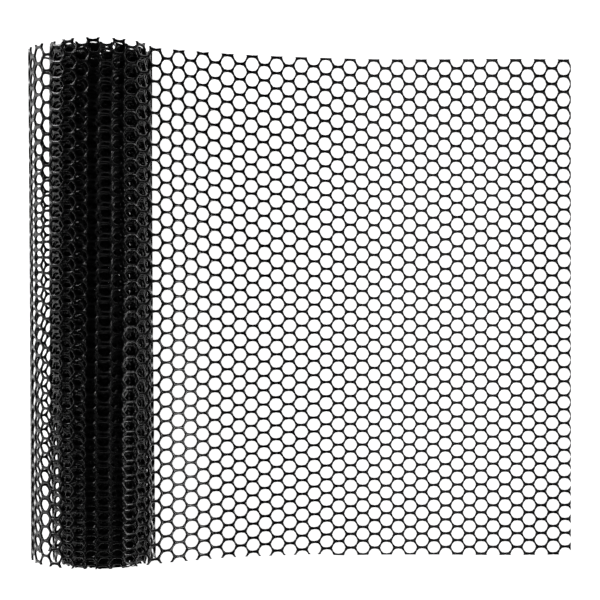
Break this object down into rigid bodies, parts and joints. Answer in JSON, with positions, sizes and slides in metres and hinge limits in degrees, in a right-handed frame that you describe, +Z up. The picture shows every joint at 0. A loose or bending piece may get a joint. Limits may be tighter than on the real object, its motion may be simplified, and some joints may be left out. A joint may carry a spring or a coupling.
{
  "type": "roll of hexagonal plastic garden mesh with its loose end pulled out",
  "caption": "Roll of black hexagonal plastic garden mesh lying on its side, with a slack outer turn and its loose end laid out flat.",
  "frame": {"origin": "centre of the part's footprint, on the surface that it lies on", "axes": "+X along the loose end, away from the roll; +Y along the roll, across the strip; +Z up"},
  "size_m": [0.4328, 0.4, 0.0804],
  "materials": {
    "black_mesh": "satin moulded polyethylene"
  },
  "bodies": {
    "root": {"mesh_roll": "black_mesh"}
  },
  "joints": []
}
